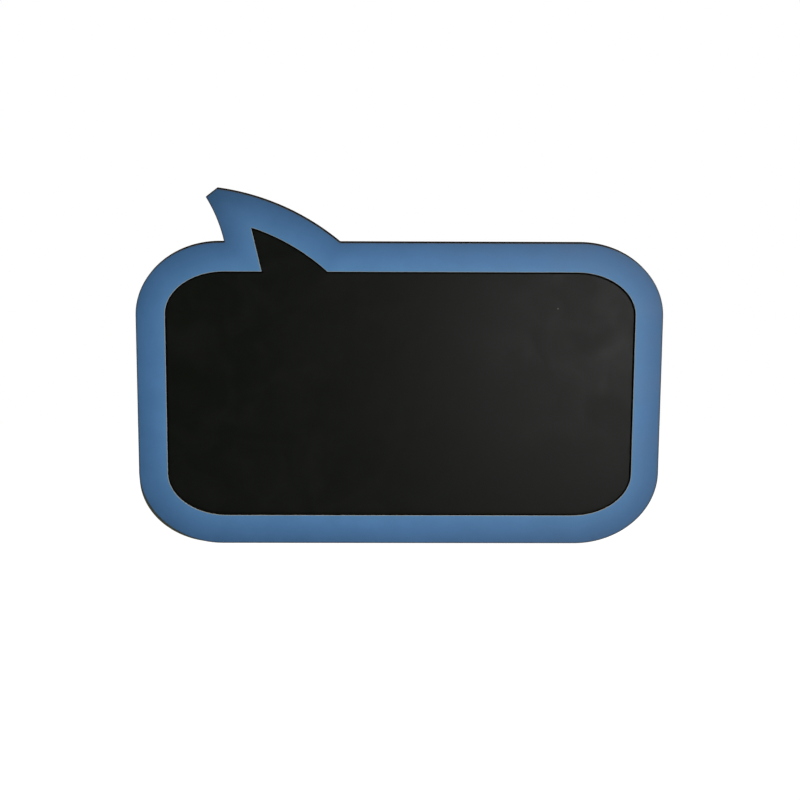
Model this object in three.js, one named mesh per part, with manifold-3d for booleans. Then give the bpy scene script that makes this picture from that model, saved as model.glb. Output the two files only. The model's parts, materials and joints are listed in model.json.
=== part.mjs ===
// A speech-bubble chalkboard for a wall: a flat painted frame on a black writing panel, with the
// screws, hanging rings and rubber bumpers that a board of this kind carries on its back.
// Millimetres. X runs to the right as seen from the front, Y runs back to the wall and Z runs up.
// The origin is at the middle of the bubble's body, on the plane of the wall.
import * as THREE from 'three';
import { mergeVertices } from 'three/addons/utils/BufferGeometryUtils.js';
import Module from 'manifold-3d';

// Body of the bubble: a rectangle with elliptical corners
const bodyWidth = 500;
const bodyHeight = 293.5;
const bodyCornerAcross = 80;
const bodyCornerUp = 70.5;

// Frame between the body's outline and the opening
const frameThickness = 4;
const frameLeftWidth = 27.7;
const frameRightWidth = 26.2;
const frameTopWidth = 28;
const frameBottomWidth = 28;
const openingCornerAcross = 56.5;
const openingCornerUp = 41.5;

// Tail of the bubble: distances in from the body's left side and up from its top edge
const tailLeftRootIn = 84.6;
const tailRightRootIn = 193.5;
const tailTipLowIn = 68;
const tailTipLowRise = 42.2;
const tailTipHighIn = 78.5;
const tailTipHighRise = 50.4;
const tailLeftRadius = 135.4;
const tailUpperRadius = 225.4;

// Tail of the opening: its upper edge runs alongside the outer one
const tailUpperWidth = 29;
const openingTailApexIn = 110.1;
const openingTailRootIn = 119.5;

// Writing panel behind the frame: its bottom left corner is cut fuller and stands out past the frame
const panelThickness = 5;
const panelFullCornerAcross = 73;
const panelFullCornerUp = 63.5;

// Countersunk screws from the panel's back into the frame
const frameScrewLength = 8;
const frameScrewShankRadius = 1.5;
const frameScrewHeadRadius = 2.75;
const frameScrewRim = 0.3;
const frameScrewTip = 2;
const frameScrewSink = 0.2;
const frameScrewFromSide = 100;
const frameScrewTopFromSide = 140;
const tailScrewIn = 95;
const tailScrewRise = 23;

// Hanging rings: D-shaped wire with its straight bar in the fold of the strap
const ringWireRadius = 1;
const ringInnerWidth = 18;
const ringInnerHeight = 12;
const ringCornerRadius = 3;
const ringEndGap = 0.4;
const hangerFromSide = 90;
const hangerFromTop = 21;

// Hanger straps: a steel strip folded back on itself round the ring's bar
const strapWidth = 12;
const strapThickness = 0.8;
const strapSlit = 0.1;
const strapReverseRadius = 1.2;
const strapEndMargin = 6;

// Pan-head screws through each strap
const hangerScrewLength = 6;
const hangerScrewShankRadius = 1.5;
const hangerScrewHeadRadius = 2.75;
const hangerScrewHeadRim = 0.6;
const hangerScrewHeadHeight = 1.7;
const hangerScrewTip = 2;
const hangerScrewSpacing = 10;

// Cross recess in every screw head
const recessLength = 3.2;
const recessWidth = 0.7;
const recessDepth = 0.9;

// Rubber bumpers between the panel and the wall
const bumperHeight = 5;
const bumperBaseRadius = 6;
const bumperTopRadius = 5.2;
const bumperEdgeRadius = 1;
const bumperFromSide = 45;
const bumperFromEnd = 42;

// Clearances
const fitGap = 0.3;
const ringToScrewGap = 0.5;
const cutOver = 1;

// Fineness of the round stretches
const chordError = 0.06;
const turnedSteps = 18;
const bumperSteps = 24;
const wireSides = 8;
const wireSteps = 56;
const foldStepDegrees = 15;
const headStepDegrees = 22.5;
const bumperEdgeStepDegrees = 30;

// Planes along Y, from the wall to the front
const wallPlane = 0;
const panelBack = wallPlane - bumperHeight;
const panelFront = panelBack - panelThickness;

// Edges of the body and of the opening
const bodyRight = bodyWidth / 2;
const bodyLeft = -bodyRight;
const bodyTop = bodyHeight / 2;
const bodyBottom = -bodyTop;
const openingLeft = bodyLeft + frameLeftWidth;
const openingRight = bodyRight - frameRightWidth;
const openingTop = bodyTop - frameTopWidth;
const openingBottom = bodyBottom + frameBottomWidth;
const bodySides = { left: bodyLeft, right: bodyRight, bottom: bodyBottom, top: bodyTop };
const openingSides = { left: openingLeft, right: openingRight, bottom: openingBottom, top: openingTop };
const bodyCorner = { across: bodyCornerAcross, up: bodyCornerUp };
const panelFullCorner = { across: panelFullCornerAcross, up: panelFullCornerUp };
const openingCorner = { across: openingCornerAcross, up: openingCornerUp };

// Hanger heights above the panel's back, and places along the strap below the hinge axis
const loopInnerRadius = ringWireRadius + fitGap;
const loopCentreHeight = strapThickness + loopInnerRadius;
const strapTopHeight = 2 * strapThickness + strapSlit;
const ringReach = ringInnerHeight + 2 * ringWireRadius;
const nearScrewDrop = ringReach + ringWireRadius + ringToScrewGap + hangerScrewHeadRadius;
const farScrewDrop = nearScrewDrop + hangerScrewSpacing;
const strapLength = farScrewDrop + strapEndMargin;
const hingeZ = bodyTop - hangerFromTop;
const ringRestAngle = Math.asin((strapTopHeight + fitGap + ringWireRadius - loopCentreHeight) / ringReach);

const framePaint = new THREE.MeshStandardMaterial({ color: 0x4d739d, roughness: 0.5, metalness: 0 });
const chalkCoating = new THREE.MeshStandardMaterial({ color: 0x1e1f1d, roughness: 0.75, metalness: 0 });
const zincPlate = new THREE.MeshStandardMaterial({ color: 0xb9bcbe, roughness: 0.35, metalness: 1 });
const blackRubber = new THREE.MeshStandardMaterial({ color: 0x1b1b1c, roughness: 0.85, metalness: 0 });

const wasm = await Module();
wasm.setup();

// Turns a closed geometry into a solid that can be cut and joined.
function solidOf(geometry) {
  const bare = geometry.clone();
  bare.deleteAttribute('normal');
  bare.deleteAttribute('uv');
  const merged = mergeVertices(bare);
  const corners = merged.index.array;
  const kept = [];
  for (let i = 0; i < corners.length; i += 3) {
    const [a, b, c] = corners.slice(i, i + 3);
    if (a !== b && b !== c && c !== a) kept.push(a, b, c);
  }
  return new wasm.Manifold(new wasm.Mesh({
    numProp: 3,
    vertProperties: new Float32Array(merged.attributes.position.array),
    triVerts: new Uint32Array(kept),
  }));
}

function geometryOf(solid) {
  const mesh = solid.getMesh();
  const geometry = new THREE.BufferGeometry();
  geometry.setAttribute('position', new THREE.BufferAttribute(mesh.vertProperties, mesh.numProp));
  geometry.setIndex(new THREE.BufferAttribute(mesh.triVerts, 1));
  const faceted = geometry.toNonIndexed();
  faceted.computeVertexNormals();
  return faceted;
}

function cutAll(geometry, cuts) {
  return geometryOf(cuts.reduce((solid, cut) => solid.subtract(solidOf(cut)), solidOf(geometry)));
}

// Points on an arc of an ellipse, from one angle to another in degrees.
function arcPoints(centreX, centreY, radiusX, radiusY, from, to, stepDegrees) {
  const span = Math.abs(to - from);
  const largest = Math.max(radiusX, radiusY);
  const finest = THREE.MathUtils.radToDeg(2 * Math.acos(1 - chordError / largest));
  const steps = Math.ceil(span / (stepDegrees ?? finest));
  const points = [];
  for (let i = 0; i <= steps; i += 1) {
    const angle = THREE.MathUtils.degToRad(from + ((to - from) * i) / steps);
    points.push(new THREE.Vector2(centreX + radiusX * Math.cos(angle), centreY + radiusY * Math.sin(angle)));
  }
  return points;
}

// Centre of the circle through two points that lies on the left of the way from one to the other.
function centreOnLeft(from, to, radius) {
  const way = to.clone().sub(from);
  const half = way.length() / 2;
  const left = new THREE.Vector2(-way.y, way.x).normalize();
  return from.clone().add(to).multiplyScalar(0.5).addScaledVector(left, Math.sqrt(radius ** 2 - half ** 2));
}

function angleFrom(centre, point) {
  return THREE.MathUtils.radToDeg(Math.atan2(point.y - centre.y, point.x - centre.x));
}

function circleArc(centre, radius, from, to) {
  return arcPoints(centre.x, centre.y, radius, radius, angleFrom(centre, from), angleFrom(centre, to));
}

// The four elliptical corners of a rectangle, anticlockwise from the top left one. The bottom left
// one can have an ellipse of its own.
function cornerPoints(sides, corner, bottomLeftCorner = corner) {
  const { left, right, bottom, top } = sides;
  const { across, up } = corner;
  return [
    ...arcPoints(left + across, top - up, across, up, 90, 180),
    ...arcPoints(
      left + bottomLeftCorner.across, bottom + bottomLeftCorner.up,
      bottomLeftCorner.across, bottomLeftCorner.up, 180, 270,
    ),
    ...arcPoints(right - across, bottom + up, across, up, 270, 360),
    ...arcPoints(right - across, top - up, across, up, 0, 90),
  ];
}

function tailPoint(inFromLeft, rise) {
  return new THREE.Vector2(bodyLeft + inFromLeft, bodyTop + rise);
}

const tailLeftRoot = tailPoint(tailLeftRootIn, 0);
const tailRightRoot = tailPoint(tailRightRootIn, 0);
const tailTipLow = tailPoint(tailTipLowIn, tailTipLowRise);
const tailTipHigh = tailPoint(tailTipHighIn, tailTipHighRise);
const tailUpperCentre = centreOnLeft(tailRightRoot, tailTipHigh, tailUpperRadius);
const tailLeftCentre = centreOnLeft(tailLeftRoot, tailTipLow, tailLeftRadius);

function bubbleOutline(bottomLeftCorner) {
  return [
    ...circleArc(tailUpperCentre, tailUpperRadius, tailRightRoot, tailTipHigh),
    ...circleArc(tailLeftCentre, tailLeftRadius, tailLeftRoot, tailTipLow).reverse(),
    ...cornerPoints(bodySides, bodyCorner, bottomLeftCorner),
  ];
}

function openingOutline() {
  const radius = tailUpperRadius - tailUpperWidth;
  const footX = tailUpperCentre.x + Math.sqrt(radius ** 2 - (openingTop - tailUpperCentre.y) ** 2);
  const foot = new THREE.Vector2(footX, openingTop);
  const apexX = bodyLeft + openingTailApexIn;
  const apexZ = tailUpperCentre.y + Math.sqrt(radius ** 2 - (apexX - tailUpperCentre.x) ** 2);
  const apex = new THREE.Vector2(apexX, apexZ);
  return [
    ...circleArc(tailUpperCentre, radius, foot, apex),
    new THREE.Vector2(bodyLeft + openingTailRootIn, openingTop),
    ...cornerPoints(openingSides, openingCorner),
  ];
}

// A flat board of an outline drawn in X and Z, with its back face on a plane along Y.
function boardGeometry(shape, thickness, backY) {
  const geometry = new THREE.ExtrudeGeometry(shape, { depth: thickness, bevelEnabled: false });
  geometry.rotateX(Math.PI / 2);
  geometry.translate(0, backY, 0);
  return geometry;
}

// A round piece turned about a line along Y; the profile holds radius and height from its front up.
function turnedGeometry(profile, steps, x, y, z) {
  const points = profile.map(([radius, height]) => new THREE.Vector2(radius, height));
  const geometry = new THREE.LatheGeometry(points, steps);
  geometry.translate(x, y, z);
  return geometry;
}

// Countersunk screw with its head's face at height 0; grow widens it to the hole that it sits in.
function countersunkProfile(grow, top) {
  const shank = frameScrewShankRadius + grow;
  const head = frameScrewHeadRadius + grow;
  const neck = -frameScrewRim - (frameScrewHeadRadius - frameScrewShankRadius);
  return [
    [0, -frameScrewLength - grow],
    [shank, frameScrewTip - frameScrewLength],
    [shank, neck],
    [head, -frameScrewRim],
    [head, top],
    [0, top],
  ];
}

// Shank of a pan-head screw from its tip up to the seat of its head at height 0.
function panShankProfile(grow) {
  const shank = hangerScrewShankRadius + grow;
  return [
    [0, -hangerScrewLength - grow],
    [shank, hangerScrewTip - hangerScrewLength],
  ];
}

function panHeadProfile() {
  const dome = arcPoints(
    0, hangerScrewHeadRim, hangerScrewHeadRadius, hangerScrewHeadHeight - hangerScrewHeadRim,
    0, 90, headStepDegrees,
  );
  return [
    ...panShankProfile(0),
    [hangerScrewShankRadius, 0],
    [hangerScrewHeadRadius, 0],
    ...dome.map((point) => [Math.max(point.x, 0), point.y]),
  ];
}

// Two crossed bars that cut the recess down from the top of a screw's head.
function recessBars(x, topY, z) {
  const height = recessDepth + cutOver;
  const middleY = topY - recessDepth + height / 2;
  const bars = [
    new THREE.BoxGeometry(recessLength, height, recessWidth),
    new THREE.BoxGeometry(recessWidth, height, recessLength),
  ];
  bars.forEach((bar) => bar.translate(x, middleY, z));
  return bars;
}

// Places of the screws through the panel into the frame: each is in the middle of the frame's width.
const topBand = bodyTop - frameTopWidth / 2;
const bottomBand = bodyBottom + frameBottomWidth / 2;
const frameScrewSpots = [
  [bodyLeft + tailScrewIn, bodyTop + tailScrewRise],
  [0, topBand],
  [bodyRight - frameScrewTopFromSide, topBand],
  [bodyRight - frameRightWidth / 2, 0],
  [bodyRight - frameScrewFromSide, bottomBand],
  [0, bottomBand],
  [bodyLeft + frameScrewFromSide, bottomBand],
  [bodyLeft + frameLeftWidth / 2, 0],
];

const hangerSides = [
  { side: 'left', x: bodyLeft + hangerFromSide },
  { side: 'right', x: bodyRight - hangerFromSide },
];
const hangerScrewDrops = { upper: nearScrewDrop, lower: farScrewDrop };

function frameScrewHole([x, z]) {
  return turnedGeometry(countersunkProfile(fitGap, cutOver), turnedSteps, x, panelBack - frameScrewSink, z);
}

function hangerScrewHole(x, z) {
  const profile = [
    ...panShankProfile(fitGap),
    [hangerScrewShankRadius + fitGap, cutOver],
    [0, cutOver],
  ];
  return turnedGeometry(profile, turnedSteps, x, panelBack + strapTopHeight, z);
}

function hangerScrewHoles() {
  return hangerSides.flatMap(({ x }) => (
    Object.values(hangerScrewDrops).map((drop) => hangerScrewHole(x, hingeZ - drop))
  ));
}

function frontFrame() {
  const shape = new THREE.Shape(bubbleOutline());
  shape.holes.push(new THREE.Path(openingOutline()));
  return cutAll(boardGeometry(shape, frameThickness, panelFront), frameScrewSpots.map(frameScrewHole));
}

function writingPanel() {
  const board = boardGeometry(new THREE.Shape(bubbleOutline(panelFullCorner)), panelThickness, panelBack);
  return cutAll(board, [...frameScrewSpots.map(frameScrewHole), ...hangerScrewHoles()]);
}

function frameScrew([x, z]) {
  const headY = panelBack - frameScrewSink;
  return cutAll(turnedGeometry(countersunkProfile(0, 0), turnedSteps, x, headY, z), recessBars(x, headY, z));
}

function hangerScrew(x, z) {
  const seatY = panelBack + strapTopHeight;
  const topY = seatY + hangerScrewHeadHeight;
  return cutAll(turnedGeometry(panHeadProfile(), turnedSteps, x, seatY, z), recessBars(x, topY, z));
}

// Side view of the folded strap in Y and Z, with the ring's bar at Z 0 and the panel's back at Y 0.
// The strip lies on the panel, wraps the bar, bends back and lies on itself.
function strapProfile() {
  const foldRadius = loopInnerRadius + strapThickness / 2;
  const upperLayer = strapTopHeight - strapThickness / 2;
  const reverseHeight = upperLayer + strapReverseRadius;
  const offset = reverseHeight - loopCentreHeight;
  const reverseZ = -Math.sqrt((foldRadius + strapReverseRadius) ** 2 - offset ** 2);
  const meet = THREE.MathUtils.radToDeg(Math.atan2(reverseZ, offset));
  const bendArc = (radius, from, to) => (
    arcPoints(reverseHeight, reverseZ, radius, radius, from, to, foldStepDegrees)
  );
  const loopArc = (radius, from, to) => (
    arcPoints(loopCentreHeight, 0, radius, radius, from, to, foldStepDegrees)
  );
  return [
    new THREE.Vector2(0, -strapLength),
    ...loopArc(loopInnerRadius + strapThickness, 180, meet),
    ...bendArc(strapReverseRadius - strapThickness / 2, meet + 180, 180).slice(1),
    new THREE.Vector2(strapTopHeight, -strapLength),
    new THREE.Vector2(strapTopHeight - strapThickness, -strapLength),
    ...bendArc(strapReverseRadius + strapThickness / 2, 180, meet + 180),
    ...loopArc(loopInnerRadius, meet, 180).slice(1),
    new THREE.Vector2(strapThickness, -strapLength),
  ];
}

// Front view of the strap in X and Z: straight sides and a round lower end.
function strapPlan() {
  const half = strapWidth / 2;
  const top = loopInnerRadius + strapThickness + cutOver;
  const endCentre = half - strapLength;
  return [
    new THREE.Vector2(half, top),
    new THREE.Vector2(-half, top),
    ...arcPoints(0, endCentre, half, half, 180, 360, foldStepDegrees),
  ];
}

function hangerStrap(x) {
  const profile = new THREE.ExtrudeGeometry(
    new THREE.Shape(strapProfile()),
    { depth: strapWidth + 2 * cutOver, bevelEnabled: false },
  );
  profile.translate(0, 0, -strapWidth / 2 - cutOver);
  const alongX = new THREE.Matrix4().makeBasis(
    new THREE.Vector3(0, 1, 0), new THREE.Vector3(0, 0, 1), new THREE.Vector3(1, 0, 0),
  );
  profile.applyMatrix4(alongX);
  const foldHeight = 2 * (loopInnerRadius + strapThickness);
  const cutDepth = foldHeight + 2 * cutOver;
  const plan = boardGeometry(new THREE.Shape(strapPlan()), cutDepth, foldHeight + cutOver);
  const holeRadius = hangerScrewShankRadius + fitGap;
  const holes = Object.values(hangerScrewDrops).map((drop) => {
    const hole = new THREE.CylinderGeometry(holeRadius, holeRadius, cutDepth, turnedSteps);
    return hole.translate(0, foldHeight / 2, -drop);
  });
  const strap = cutAll(geometryOf(solidOf(profile).intersect(solidOf(plan))), holes);
  strap.translate(x, panelBack, hingeZ);
  return strap;
}

// Centre line of the ring's wire in X and Z: from the bar's middle round the D and back.
class RingLine extends THREE.Curve {
  constructor() {
    super();
    const half = ringInnerWidth / 2 + ringWireRadius;
    const shoulder = half - ringCornerRadius;
    const roundZ = half - ringReach;
    this.path = new THREE.Path();
    this.path.moveTo(ringEndGap / 2, 0);
    this.path.lineTo(shoulder, 0);
    this.path.absarc(shoulder, -ringCornerRadius, ringCornerRadius, Math.PI / 2, 0, true);
    this.path.absarc(0, roundZ, half, 0, -Math.PI, true);
    this.path.absarc(-shoulder, -ringCornerRadius, ringCornerRadius, Math.PI, Math.PI / 2, true);
    this.path.lineTo(-ringEndGap / 2, 0);
  }

  getPoint(t, target = new THREE.Vector3()) {
    const point = this.path.getPoint(t);
    return target.set(point.x, 0, point.y);
  }
}

function ringGeometry() {
  const section = new THREE.Shape(
    arcPoints(0, 0, ringWireRadius, ringWireRadius, 0, 360, 360 / wireSides).slice(1),
  );
  return new THREE.ExtrudeGeometry(section, { steps: wireSteps, extrudePath: new RingLine() });
}

function bumper(x, z) {
  const edge = arcPoints(
    bumperTopRadius - bumperEdgeRadius, bumperHeight - bumperEdgeRadius,
    bumperEdgeRadius, bumperEdgeRadius, 0, 90, bumperEdgeStepDegrees,
  );
  const profile = [
    [0, 0],
    [bumperBaseRadius, 0],
    ...edge.map((point) => [point.x, point.y]),
    [0, bumperHeight],
  ];
  return turnedGeometry(profile, bumperSteps, x, panelBack, z);
}

const chalkboard = new THREE.Group();

function addPiece(name, geometry, material, holder = chalkboard) {
  const mesh = new THREE.Mesh(geometry, material.clone());
  mesh.name = name;
  holder.add(mesh);
}

addPiece('front_frame', frontFrame(), framePaint);
addPiece('writing_panel', writingPanel(), chalkCoating);
frameScrewSpots.forEach((spot, index) => {
  addPiece(`frame_screw_${index + 1}`, frameScrew(spot), zincPlate);
});

for (const { side, x } of hangerSides) {
  addPiece(`${side}_hanger_strap`, hangerStrap(x), zincPlate);
  const ringHolder = new THREE.Group();
  ringHolder.position.set(x, panelBack + loopCentreHeight, hingeZ);
  ringHolder.rotation.x = ringRestAngle;
  chalkboard.add(ringHolder);
  addPiece(`${side}_hanger_ring`, ringGeometry(), zincPlate, ringHolder);
  for (const [place, drop] of Object.entries(hangerScrewDrops)) {
    addPiece(`${side}_hanger_screw_${place}`, hangerScrew(x, hingeZ - drop), zincPlate);
  }
}

for (const [end, z] of [['top', bodyTop - bumperFromEnd], ['bottom', bodyBottom + bumperFromEnd]]) {
  addPiece(`bumper_${end}_left`, bumper(bodyLeft + bumperFromSide, z), blackRubber);
  addPiece(`bumper_${end}_right`, bumper(bodyRight - bumperFromSide, z), blackRubber);
}

export default chalkboard;
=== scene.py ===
import json
import math

import bmesh
import bpy
import numpy as np
from mathutils import Matrix, Vector, geometry


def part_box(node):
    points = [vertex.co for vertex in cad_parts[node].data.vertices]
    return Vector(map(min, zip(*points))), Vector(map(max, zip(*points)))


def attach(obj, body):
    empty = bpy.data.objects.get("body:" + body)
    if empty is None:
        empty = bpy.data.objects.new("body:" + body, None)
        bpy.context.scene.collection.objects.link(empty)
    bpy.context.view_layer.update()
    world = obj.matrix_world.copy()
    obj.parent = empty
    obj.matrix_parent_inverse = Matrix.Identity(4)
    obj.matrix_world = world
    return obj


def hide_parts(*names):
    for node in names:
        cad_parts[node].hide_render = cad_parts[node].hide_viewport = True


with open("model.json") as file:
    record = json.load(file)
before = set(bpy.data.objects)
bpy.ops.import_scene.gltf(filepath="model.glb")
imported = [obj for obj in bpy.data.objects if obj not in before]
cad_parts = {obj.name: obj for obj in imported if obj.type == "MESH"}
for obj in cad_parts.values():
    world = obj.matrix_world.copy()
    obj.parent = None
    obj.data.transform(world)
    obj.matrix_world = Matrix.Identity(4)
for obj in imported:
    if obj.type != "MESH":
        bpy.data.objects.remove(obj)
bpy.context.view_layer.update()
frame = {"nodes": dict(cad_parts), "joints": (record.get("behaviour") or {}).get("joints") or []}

# Lengths in this script are millimetres: X to the right, Y back towards the wall, Z up, as in the CAD
mm = 0.001


# Camera: in front of the board and a little above it, as in the photograph
cameraSettings = {
    "lens": 90.2,
    "sensor": 36,
    "place": (-26.6, -1887.2, 397.2),
    "tiltDown": 12.106,
    "turnRight": 0.831,
    "roll": 0.303,
}


def makeCamera():
    data = bpy.data.cameras.new("camera")
    data.lens = cameraSettings["lens"]
    data.sensor_width = cameraSettings["sensor"]
    camera = bpy.data.objects.new("camera", data)
    turn = Matrix.Rotation(-math.radians(cameraSettings["turnRight"]), 4, "Z")
    tilt = Matrix.Rotation(math.radians(90 - cameraSettings["tiltDown"]), 4, "X")
    roll = Matrix.Rotation(math.radians(cameraSettings["roll"]), 4, "Z")
    place = Matrix.Translation(Vector(cameraSettings["place"]) * mm)
    camera.matrix_world = place @ turn @ tilt @ roll
    bpy.context.scene.collection.objects.link(camera)
    bpy.context.scene.camera = camera


# An sRGB hex colour, as a colour picker shows it, turned to the linear values that sockets take
def hexToLinear(hexColour):
    channels = [int(hexColour[i:i + 2], 16) / 255 for i in (1, 3, 5)]
    linear = [c / 12.92 if c <= 0.04045 else ((c + 0.055) / 1.055) ** 2.4 for c in channels]
    return (*linear, 1.0)


# Adds a node with its settings and returns one of its outputs. An input, found by its name or by its
# place in the row, is given a value, or a socket to link.
def addNode(tree, kind, inputs=None, give=None, **settings):
    node = tree.nodes.new(kind)
    for name, value in settings.items():
        setattr(node, name, value)
    for name, value in (inputs or {}).items():
        if isinstance(name, int):
            socket = node.inputs[name]
        else:
            socket = next(s for s in node.inputs if s.enabled and s.name == name)
        if isinstance(value, bpy.types.NodeSocket):
            tree.links.new(value, socket)
        else:
            socket.default_value = value
    return next((s for s in node.outputs if s.enabled and give in (None, s.name)), None)


# Noise scale for a feature of a real size, because object coordinates are metres
def perMetre(size):
    return 1 / (size * mm)


# Inputs of map ranges: the values that a noise seldom leaves, and a fall from 1 to 0
noiseSpan = {"From Min": 0.3, "From Max": 0.7}
falling = {"To Min": 1.0, "To Max": 0.0}


# A material with no nodes but the object coordinates that its patterns use
def startMaterial(name):
    material = bpy.data.materials.new(name)
    material.use_nodes = True
    tree = material.node_tree
    tree.nodes.clear()
    coords = addNode(tree, "ShaderNodeTexCoord", give="Object")
    return material, tree, coords


# Sawn MDF, bare on the back of the writing panel, in the screw holes and where the paint is chipped.
# It is matt and brown, with short felted fibres that lie along the board and a darker, denser skin
# in faint clouds.
sawnMdf = {
    "pale": "#a58a68",
    "dark": "#84694b",
    "skin": "#75593d",
    "fleck": "#5d4630",
    "fibre": 0.35,              # MDF fibres are under 0.1 mm thick: drawn as small bundles
    "fibreStretch": 4,
    "speck": 0.6,
    "grainSpan": {"From Min": 0.36, "From Max": 0.64},
    "fleckSize": 0.9,
    "fleckSpan": {"From Min": 0.66, "From Max": 0.72, "To Max": 0.5},
    "cloud": 42,
    "cloudSpan": {"From Min": 0.35, "From Max": 0.7, "To Max": 0.3},
    "height": 0.03,
    "bump": 0.7,
    "roughness": 0.95,
}


# Colour of bare MDF, and the height of its grain from 0 to 1
def mdfPattern(tree, coords):
    board = sawnMdf
    along = addNode(tree, "ShaderNodeMapping", {
        "Vector": coords,
        "Scale": (1 / board["fibreStretch"], 1, 1),
    })
    fibres = addNode(tree, "ShaderNodeTexNoise", {
        "Vector": along, "Scale": perMetre(board["fibre"]), "Detail": 3.0, "Roughness": 0.6,
    })
    specks = addNode(tree, "ShaderNodeTexNoise", {
        "Vector": coords, "Scale": perMetre(board["speck"]), "Detail": 2.0, "Roughness": 0.6,
    })
    grain = addNode(tree, "ShaderNodeMath", {0: fibres, 1: specks}, operation="ADD")
    grain = addNode(tree, "ShaderNodeMath", {0: grain, 1: 2.0}, operation="DIVIDE")
    feltShare = addNode(tree, "ShaderNodeMapRange", {"Value": grain, **board["grainSpan"]})
    flecks = addNode(tree, "ShaderNodeTexNoise", {
        "Vector": along, "Scale": perMetre(board["fleckSize"]), "Detail": 1.0,
    })
    fleckShare = addNode(tree, "ShaderNodeMapRange", {"Value": flecks, **board["fleckSpan"]})
    clouds = addNode(tree, "ShaderNodeTexNoise", {
        "Vector": coords, "Scale": perMetre(board["cloud"]), "Detail": 3.0,
    })
    cloudShare = addNode(tree, "ShaderNodeMapRange", {"Value": clouds, **board["cloudSpan"]})
    colour = hexToLinear(board["dark"])
    for share, over in ((feltShare, "pale"), (fleckShare, "fleck"), (cloudShare, "skin")):
        colour = addNode(tree, "ShaderNodeMix", {
            "Factor": share, "A": colour, "B": hexToLinear(board[over]),
        }, data_type="RGBA")
    return colour, grain


# A bump from a coat's height and, where the board is bare, the board's, both in millimetres
def coatOverBoard(tree, bare, coat, coatHeight, board):
    coatLevel = addNode(tree, "ShaderNodeMath", {0: coat, 1: coatHeight}, operation="MULTIPLY")
    boardLevel = addNode(tree, "ShaderNodeMath", {0: board, 1: sawnMdf["height"]}, operation="MULTIPLY")
    level = addNode(tree, "ShaderNodeMix", {"Factor": bare, "A": coatLevel, "B": boardLevel})
    return addNode(tree, "ShaderNodeBump", {
        "Height": level, "Strength": sawnMdf["bump"], "Distance": mm,
    })


# Marks such as chips and specks. Their edge wavers between two shares of their size.
markSettings = {
    "ragged": 0.8,
    "edge": (0.4, 0.6),
}


# Round marks at given places on a face: 1 inside them, with a ragged edge
def marksAt(tree, coords, places):
    inner, outer = markSettings["edge"]
    ragged = addNode(tree, "ShaderNodeTexNoise", {
        "Vector": coords, "Scale": perMetre(markSettings["ragged"]), "Detail": 2.0,
    })
    swing = addNode(tree, "ShaderNodeMath", {0: ragged, 1: 0.5}, operation="SUBTRACT")
    flat = addNode(tree, "ShaderNodeVectorMath", {0: coords, 1: (1, 0, 1)}, operation="MULTIPLY")
    total = None
    for x, z, size in places:
        away = addNode(tree, "ShaderNodeVectorMath", {
            0: flat, 1: (x * mm, 0, z * mm),
        }, give="Value", operation="DISTANCE")
        shifted = addNode(tree, "ShaderNodeMath", {
            0: swing, 1: size * mm, 2: away,
        }, operation="MULTIPLY_ADD")
        mark = addNode(tree, "ShaderNodeMapRange", {
            "Value": shifted, "From Min": size * inner * mm, "From Max": size * outer * mm, **falling,
        })
        if total:
            mark = addNode(tree, "ShaderNodeMath", {0: total, 1: mark}, operation="MAXIMUM")
        total = mark
    return total


# Sawn edges of MDF. The saw scorches the frame's nearly black, and the panel's drink up their black
# paint. Either way the eye sees a dead matt dark edge, with a little of the fibre showing. The panel's
# black also makes the painted shadow line on its face along the frame.
sawnEdge = {
    "scorched": "#0d0b09",
    "scorchLeast": 0.96,
    "soakedEdgeAndShadow": "#030403",
    "soakLeast": 0.985,
    "waver": 2.2,
}


def mattMdfEdge(name, dark, leastCover):
    material, tree, coords = startMaterial(name)
    boardColour, boardGrain = mdfPattern(tree, coords)
    waver = addNode(tree, "ShaderNodeTexNoise", {
        "Vector": coords, "Scale": perMetre(sawnEdge["waver"]), "Detail": 3.0,
    })
    cover = addNode(tree, "ShaderNodeMapRange", {"Value": waver, **noiseSpan, "To Min": leastCover})
    colour = addNode(tree, "ShaderNodeMix", {
        "Factor": cover, "A": boardColour, "B": hexToLinear(dark),
    }, data_type="RGBA")
    bump = addNode(tree, "ShaderNodeBump", {
        "Height": boardGrain, "Strength": sawnMdf["bump"], "Distance": sawnMdf["height"] * mm,
    })
    shader = addNode(tree, "ShaderNodeBsdfPrincipled", {
        "Base Color": colour,
        "Roughness": sawnMdf["roughness"],
        "Normal": bump,
        "Specular IOR Level": 0.0,
    })
    addNode(tree, "ShaderNodeOutputMaterial", {"Surface": shader})
    return material
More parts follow.
